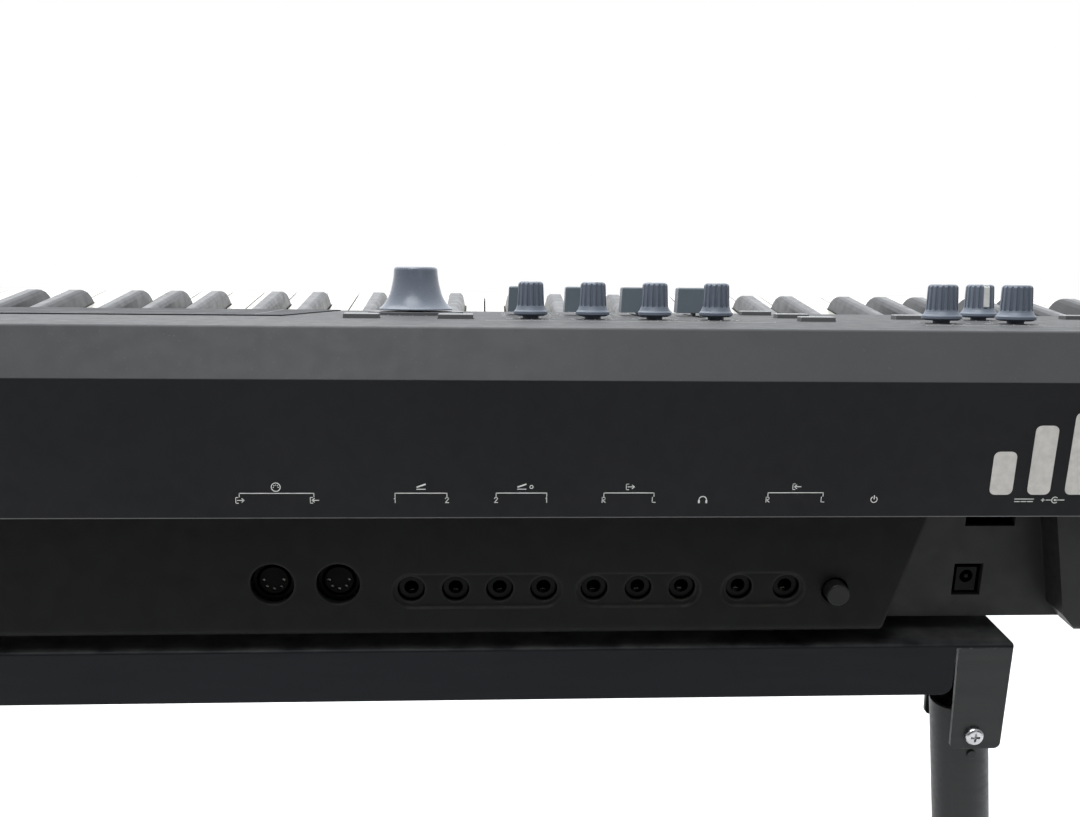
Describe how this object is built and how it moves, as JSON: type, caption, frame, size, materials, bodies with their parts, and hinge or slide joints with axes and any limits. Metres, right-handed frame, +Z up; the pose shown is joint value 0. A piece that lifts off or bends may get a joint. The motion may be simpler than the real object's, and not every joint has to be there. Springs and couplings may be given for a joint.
{
  "type": "stage piano on stand",
  "caption": "Full-width stage piano with rear jacks, knobs, sliders, wheels and hinged keys, resting on a folded-steel stand with splayed tube legs.",
  "frame": {"origin": "on the floor under the middle of the instrument and its stand", "axes": "+Z up, +Y towards the rear jack panel, +X towards the player's right"},
  "size_m": [1.333, 0.3966, 0.7796],
  "materials": {
    "panel_plastic": "fine-textured dark grey",
    "case_plastic": "fine-textured black",
    "jack_panel_plastic": "matt black",
    "cap_plastic": "satin dark grey",
    "display_glass": "gloss black window",
    "socket_plastic": "black socket plastic",
    "socket_steel": "bright tinned steel",
    "board": "green circuit board",
    "zinc_steel": "zinc-plated steel",
    "trim_grey": "satin grey",
    "rubber": "black rubber",
    "screw_steel": "bright zinc",
    "stand_paint": "black powder coat",
    "white_key": "ivory white gloss",
    "black_key": "satin black",
    "knob_rubber": "blue-grey satin",
    "slider_plastic": "blue-grey satin",
    "super_knob_plastic": "blue-grey satin",
    "wheel_plastic": "satin black",
    "button_grey": "satin grey",
    "button_dark": "satin black"
  },
  "bodies": {
    "body": {"upper_case": "panel_plastic", "display_glass": "display_glass", "lower_case": "case_plastic", "jack_panel": "jack_panel_plastic", "phone_jacks": "socket_plastic", "midi_sockets": "socket_plastic", "usb_sockets": "socket_steel", "dc_socket": "socket_plastic", "power_switch_body": "socket_plastic", "circuit_boards": "board", "end_caps": "cap_plastic", "key_slip": "case_plastic", "key_blocks": "case_plastic", "key_frame": "zinc_steel", "super_knob_ring": "trim_grey", "pots_and_faders": "zinc_steel", "wheel_frame": "zinc_steel", "case_feet": "rubber", "case_screws": "screw_steel", "stand_rails": "stand_paint", "stand_end_plates": "stand_paint", "leg_brackets": "stand_paint", "stand_legs": "stand_paint", "leg_pins": "stand_paint", "leg_fasteners": "screw_steel", "floor_runners": "stand_paint", "runner_plugs": "rubber", "runner_pads": "rubber", "stand_crossbar": "stand_paint"},
    "keys_c": {"keys_c": "white_key"},
    "keys_c_sharp": {"keys_c_sharp": "black_key"},
    "keys_d": {"keys_d": "white_key"},
    "keys_d_sharp": {"keys_d_sharp": "black_key"},
    "keys_e": {"keys_e": "white_key"},
    "keys_f": {"keys_f": "white_key"},
    "keys_f_sharp": {"keys_f_sharp": "black_key"},
    "keys_g": {"keys_g": "white_key"},
    "keys_g_sharp": {"keys_g_sharp": "black_key"},
    "keys_a": {"keys_a": "white_key"},
    "keys_a_sharp": {"keys_a_sharp": "black_key"},
    "keys_b": {"keys_b": "white_key"},
    "assign_knob_1": {"assign_knob_1": "knob_rubber"},
    "assign_knob_2": {"assign_knob_2": "knob_rubber"},
    "assign_knob_3": {"assign_knob_3": "knob_rubber"},
    "assign_knob_4": {"assign_knob_4": "knob_rubber"},
    "gain_knob": {"gain_knob": "knob_rubber"},
    "volume_knob": {"volume_knob": "knob_rubber"},
    "glide_knob": {"glide_knob": "knob_rubber"},
    "super_knob": {"super_knob": "super_knob_plastic"},
    "data_dial": {"data_dial": "super_knob_plastic"},
    "slider_cap_1": {"slider_cap_1": "slider_plastic"},
    "slider_cap_2": {"slider_cap_2": "slider_plastic"},
    "slider_cap_3": {"slider_cap_3": "slider_plastic"},
    "slider_cap_4": {"slider_cap_4": "slider_plastic"},
    "pitch_wheel": {"pitch_wheel": "wheel_plastic"},
    "mod_wheel": {"mod_wheel": "wheel_plastic"},
    "scene_buttons": {"scene_buttons": "button_grey"},
    "mode_buttons": {"mode_buttons": "button_grey"},
    "pad_buttons": {"pad_buttons": "button_grey"},
    "power_button": {"power_button": "button_dark"}
  },
  "joints": [
    {"name": "keys_c_pivot", "type": "hinge", "parent": "body", "child": "keys_c", "pos_m": [0, 0.0475, 0.7183], "axis": [1, 0, 0], "range_deg": [0, 2.6], "stiffness_Nm_per_rad": 9, "springref_deg": -14.32},
    {"name": "keys_c_sharp_pivot", "type": "hinge", "parent": "body", "child": "keys_c_sharp", "pos_m": [0, 0.0475, 0.7183], "axis": [1, 0, 0], "range_deg": [0, 2.6], "stiffness_Nm_per_rad": 9, "springref_deg": -14.32},
    {"name": "keys_d_pivot", "type": "hinge", "parent": "body", "child": "keys_d", "pos_m": [0, 0.0475, 0.7183], "axis": [1, 0, 0], "range_deg": [0, 2.6], "stiffness_Nm_per_rad": 9, "springref_deg": -14.32},
    {"name": "keys_d_sharp_pivot", "type": "hinge", "parent": "body", "child": "keys_d_sharp", "pos_m": [0, 0.0475, 0.7183], "axis": [1, 0, 0], "range_deg": [0, 2.6], "stiffness_Nm_per_rad": 9, "springref_deg": -14.32},
    {"name": "keys_e_pivot", "type": "hinge", "parent": "body", "child": "keys_e", "pos_m": [0, 0.0475, 0.7183], "axis": [1, 0, 0], "range_deg": [0, 2.6], "stiffness_Nm_per_rad": 9, "springref_deg": -14.32},
    {"name": "keys_f_pivot", "type": "hinge", "parent": "body", "child": "keys_f", "pos_m": [0, 0.0475, 0.7183], "axis": [1, 0, 0], "range_deg": [0, 2.6], "stiffness_Nm_per_rad": 9, "springref_deg": -14.32},
    {"name": "keys_f_sharp_pivot", "type": "hinge", "parent": "body", "child": "keys_f_sharp", "pos_m": [0, 0.0475, 0.7183], "axis": [1, 0, 0], "range_deg": [0, 2.6], "stiffness_Nm_per_rad": 9, "springref_deg": -14.32},
    {"name": "keys_g_pivot", "type": "hinge", "parent": "body", "child": "keys_g", "pos_m": [0, 0.0475, 0.7183], "axis": [1, 0, 0], "range_deg": [0, 2.6], "stiffness_Nm_per_rad": 9, "springref_deg": -14.32},
    {"name": "keys_g_sharp_pivot", "type": "hinge", "parent": "body", "child": "keys_g_sharp", "pos_m": [0, 0.0475, 0.7183], "axis": [1, 0, 0], "range_deg": [0, 2.6], "stiffness_Nm_per_rad": 9, "springref_deg": -14.32},
    {"name": "keys_a_pivot", "type": "hinge", "parent": "body", "child": "keys_a", "pos_m": [0, 0.0475, 0.7183], "axis": [1, 0, 0], "range_deg": [0, 2.6], "stiffness_Nm_per_rad": 9, "springref_deg": -14.32},
    {"name": "keys_a_sharp_pivot", "type": "hinge", "parent": "body", "child": "keys_a_sharp", "pos_m": [0, 0.0475, 0.7183], "axis": [1, 0, 0], "range_deg": [0, 2.6], "stiffness_Nm_per_rad": 9, "springref_deg": -14.32},
    {"name": "keys_b_pivot", "type": "hinge", "parent": "body", "child": "keys_b", "pos_m": [0, 0.0475, 0.7183], "axis": [1, 0, 0], "range_deg": [0, 2.6], "stiffness_Nm_per_rad": 9, "springref_deg": -14.32},
    {"name": "assign_knob_1_turn", "type": "hinge", "parent": "body", "child": "assign_knob_1", "pos_m": [-0.188, 0.0855, 0.7558], "axis": [0, -0.1513, 0.9885], "range_deg": [-150, 150]},
    {"name": "assign_knob_2_turn", "type": "hinge", "parent": "body", "child": "assign_knob_2", "pos_m": [-0.2205, 0.0855, 0.7558], "axis": [0, -0.1513, 0.9885], "range_deg": [-150, 150]},
    {"name": "assign_knob_3_turn", "type": "hinge", "parent": "body", "child": "assign_knob_3", "pos_m": [-0.253, 0.0855, 0.7558], "axis": [0, -0.1513, 0.9885], "range_deg": [-150, 150]},
    {"name": "assign_knob_4_turn", "type": "hinge", "parent": "body", "child": "assign_knob_4", "pos_m": [-0.2855, 0.0855, 0.7558], "axis": [0, -0.1513, 0.9885], "range_deg": [-150, 150]},
    {"name": "gain_knob_turn", "type": "hinge", "parent": "body", "child": "gain_knob", "pos_m": [-0.398, 0.1055, 0.75886], "axis": [0, -0.1513, 0.9885], "range_deg": [-150, 150]},
    {"name": "volume_knob_turn", "type": "hinge", "parent": "body", "child": "volume_knob", "pos_m": [-0.436, 0.1075, 0.75916], "axis": [0, -0.1513, 0.9885], "range_deg": [-150, 150]},
    {"name": "glide_knob_turn", "type": "hinge", "parent": "body", "child": "glide_knob", "pos_m": [-0.44, 0.0585, 0.75166], "axis": [0, -0.1513, 0.9885], "range_deg": [-150, 150]},
    {"name": "super_knob_turn", "type": "hinge", "parent": "body", "child": "super_knob", "pos_m": [-0.125, 0.0295, 0.74723], "axis": [0, -0.1513, 0.9885], "range_deg": [-150, 150]},
    {"name": "data_dial_turn", "type": "hinge", "parent": "body", "child": "data_dial", "pos_m": [0.232, 0.0795, 0.75488], "axis": [0, -0.1513, 0.9885], "continuous": true},
    {"name": "slider_cap_1_travel", "type": "slide", "parent": "body", "child": "slider_cap_1", "axis": [0, 0.9885, 0.1513], "range_m": [-0.024, 0.024]},
    {"name": "slider_cap_2_travel", "type": "slide", "parent": "body", "child": "slider_cap_2", "axis": [0, 0.9885, 0.1513], "range_m": [-0.024, 0.024]},
    {"name": "slider_cap_3_travel", "type": "slide", "parent": "body", "child": "slider_cap_3", "axis": [0, 0.9885, 0.1513], "range_m": [-0.024, 0.024]},
    {"name": "slider_cap_4_travel", "type": "slide", "parent": "body", "child": "slider_cap_4", "axis": [0, 0.9885, 0.1513], "range_m": [-0.024, 0.024]},
    {"name": "pitch_wheel_turn", "type": "hinge", "parent": "body", "child": "pitch_wheel", "pos_m": [-0.577, 0.09562, 0.74318], "axis": [1, 0, 0], "range_deg": [-40, 40], "stiffness_Nm_per_rad": 0.05},
    {"name": "mod_wheel_turn", "type": "hinge", "parent": "body", "child": "mod_wheel", "pos_m": [-0.535, 0.09562, 0.74318], "axis": [1, 0, 0], "range_deg": [-35, 35]},
    {"name": "scene_buttons_press", "type": "slide", "parent": "body", "child": "scene_buttons", "axis": [0, 0.1513, -0.9885], "range_m": [0, 0.0013], "stiffness_N_per_m": 400, "springref_m": -0.0015},
    {"name": "mode_buttons_press", "type": "slide", "parent": "body", "child": "mode_buttons", "axis": [0, 0.1513, -0.9885], "range_m": [0, 0.0013], "stiffness_N_per_m": 400, "springref_m": -0.0015},
    {"name": "pad_buttons_press", "type": "slide", "parent": "body", "child": "pad_buttons", "axis": [0, 0.1513, -0.9885], "range_m": [0, 0.0013], "stiffness_N_per_m": 400, "springref_m": -0.0015},
    {"name": "power_button_press", "type": "slide", "parent": "body", "child": "power_button", "axis": [0, -1, 0], "range_m": [0, 0.003], "stiffness_N_per_m": 400, "springref_m": -0.002}
  ]
}
